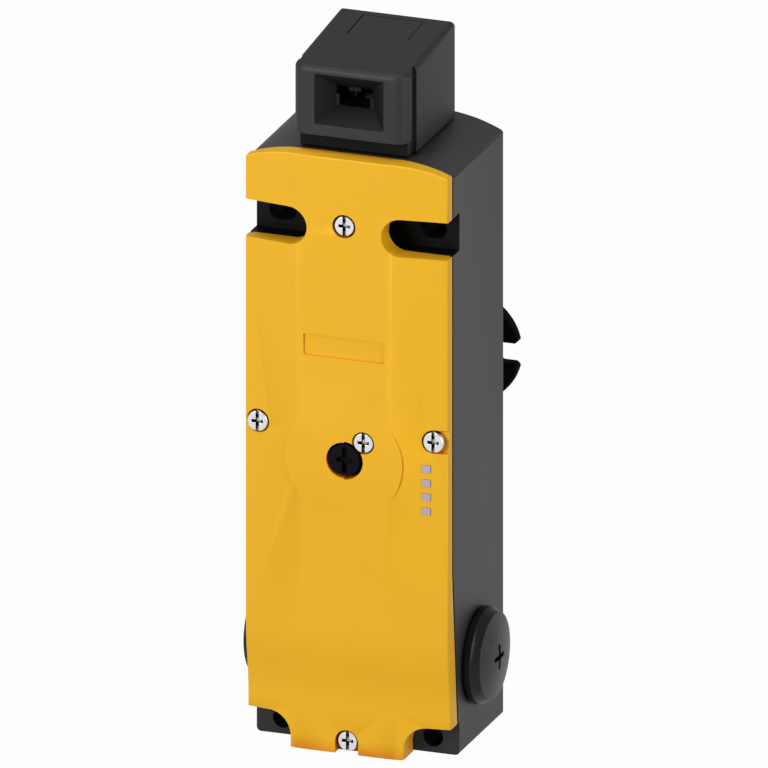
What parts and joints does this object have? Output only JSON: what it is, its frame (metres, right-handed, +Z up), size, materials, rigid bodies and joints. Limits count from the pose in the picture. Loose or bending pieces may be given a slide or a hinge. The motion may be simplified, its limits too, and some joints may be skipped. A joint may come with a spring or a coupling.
{
  "type": "tongue interlock switch",
  "caption": "Guard-locking tongue switch: crowned cover on a slim housing, turnable funnel head, cable plugs, front release and a round escape knob behind.",
  "frame": {"origin": "on the mounting face, midway between the two lower mounting holes", "axes": "+Z up along the housing towards the head, -Y out of the front cover, +X to the right seen from the front"},
  "size_m": [0.0656, 0.0935, 0.1845],
  "materials": {
    "black_plastic": "satin moulded",
    "yellow_plastic": "satin moulded",
    "black_rubber": "matte",
    "zinc_steel": "zinc plated",
    "clear_window": "polished",
    "board_laminate": "solder mask",
    "lamp_lens": "moulded lens",
    "black_enamel": "satin enamel on a die casting",
    "spring_steel": "drawn wire or strip",
    "pale_plastic": "moulded",
    "bright_steel": "turned",
    "bearing_brass": "turned",
    "soft_iron": "plated",
    "copper_wire": "enamelled wire",
    "dark_plastic": "moulded",
    "contact_brass": "stamped"
  },
  "bodies": {
    "housing": {"housing": "black_plastic", "front_cover": "yellow_plastic", "cover_gasket": "black_rubber", "cover_screws": "zinc_steel", "locking_screw": "zinc_steel", "light_guides": "clear_window", "circuit_board": "board_laminate", "indicator_lamps": "lamp_lens", "board_screws": "zinc_steel", "release_ring": "black_rubber", "cable_plugs": "black_plastic", "plug_seals": "black_rubber", "head_clip": "spring_steel", "guide_bush": "bearing_brass", "plunger_spring": "spring_steel", "armature_spring": "spring_steel", "yoke": "soft_iron", "bobbin": "pale_plastic", "winding": "copper_wire", "pole_piece": "soft_iron", "shaft_seal": "black_rubber", "contact_screws": "zinc_steel", "terminal_block": "pale_plastic", "terminal_screws": "zinc_steel", "contact_block_left": "dark_plastic", "fixed_contacts_left": "contact_brass", "contact_block_right": "dark_plastic", "fixed_contacts_right": "contact_brass"},
    "head": {"head_housing": "black_enamel", "head_base": "black_enamel", "head_screws": "zinc_steel", "head_ring": "black_rubber", "head_plug": "black_plastic", "cam_axle": "bright_steel", "wheel_spring": "spring_steel"},
    "cam_wheel": {"cam_wheel": "dark_plastic"},
    "plunger": {"plunger_sleeve": "bright_steel", "sleeve_arm": "pale_plastic"},
    "position_contact": {"contact_slide_left": "pale_plastic", "contact_bridge_left": "contact_brass"},
    "escape_release": {"escape_shaft": "bright_steel", "escape_knob": "black_plastic", "knob_screw": "zinc_steel"},
    "lock_slide": {"lock_rod": "bright_steel", "release_frame": "pale_plastic", "armature": "soft_iron"},
    "lock_contact": {"contact_slide_right": "pale_plastic", "contact_bridge_right": "contact_brass"},
    "auxiliary_release": {"auxiliary_release": "black_plastic"}
  },
  "joints": [
    {"name": "head_turn", "type": "hinge", "parent": "housing", "child": "head", "pos_m": [0, -0.0199, 0.1548], "axis": [0, 0, 1], "continuous": true},
    {"name": "cam_wheel_turn", "type": "hinge", "parent": "head", "child": "cam_wheel", "pos_m": [0, -0.0199, 0.1625], "axis": [-1, 0, 0], "range_deg": [0, 60.2]},
    {"name": "plunger_travel", "type": "slide", "parent": "housing", "child": "plunger", "axis": [0, 0, -1], "range_m": [0, 0.0032], "stiffness_N_per_m": 350, "springref_m": -0.002, "deforming": ["plunger_spring"]},
    {"name": "position_contact_travel", "type": "slide", "parent": "housing", "child": "position_contact", "axis": [0, 0, -1], "range_m": [0, 0.00321]},
    {"name": "escape_release_turn", "type": "hinge", "parent": "housing", "child": "escape_release", "pos_m": [0, 0.04, 0.0746], "axis": [0, 1, 0], "range_deg": [0, 90.3]},
    {"name": "lock_travel", "type": "slide", "parent": "housing", "child": "lock_slide", "axis": [0, 0, -1], "range_m": [0, 0.0024], "stiffness_N_per_m": 300, "springref_m": -0.002, "deforming": ["armature_spring"]},
    {"name": "lock_contact_travel", "type": "slide", "parent": "housing", "child": "lock_contact", "axis": [0, 0, -1], "range_m": [0, 0.00241]},
    {"name": "auxiliary_release_turn", "type": "hinge", "parent": "housing", "child": "auxiliary_release", "pos_m": [0, -0.035, 0.0746], "axis": [0, 1, 0], "range_deg": [0, 90]}
  ],
  "couplings": [
    {"joint": "cam_wheel_turn", "follows": "plunger_travel", "rad_per_m": 327.25},
    {"joint": "position_contact_travel", "follows": "plunger_travel", "ratio": 1},
    {"joint": "escape_release_turn", "follows": "lock_travel", "rad_per_m": 654.5},
    {"joint": "lock_contact_travel", "follows": "lock_travel", "ratio": 1}
  ]
}
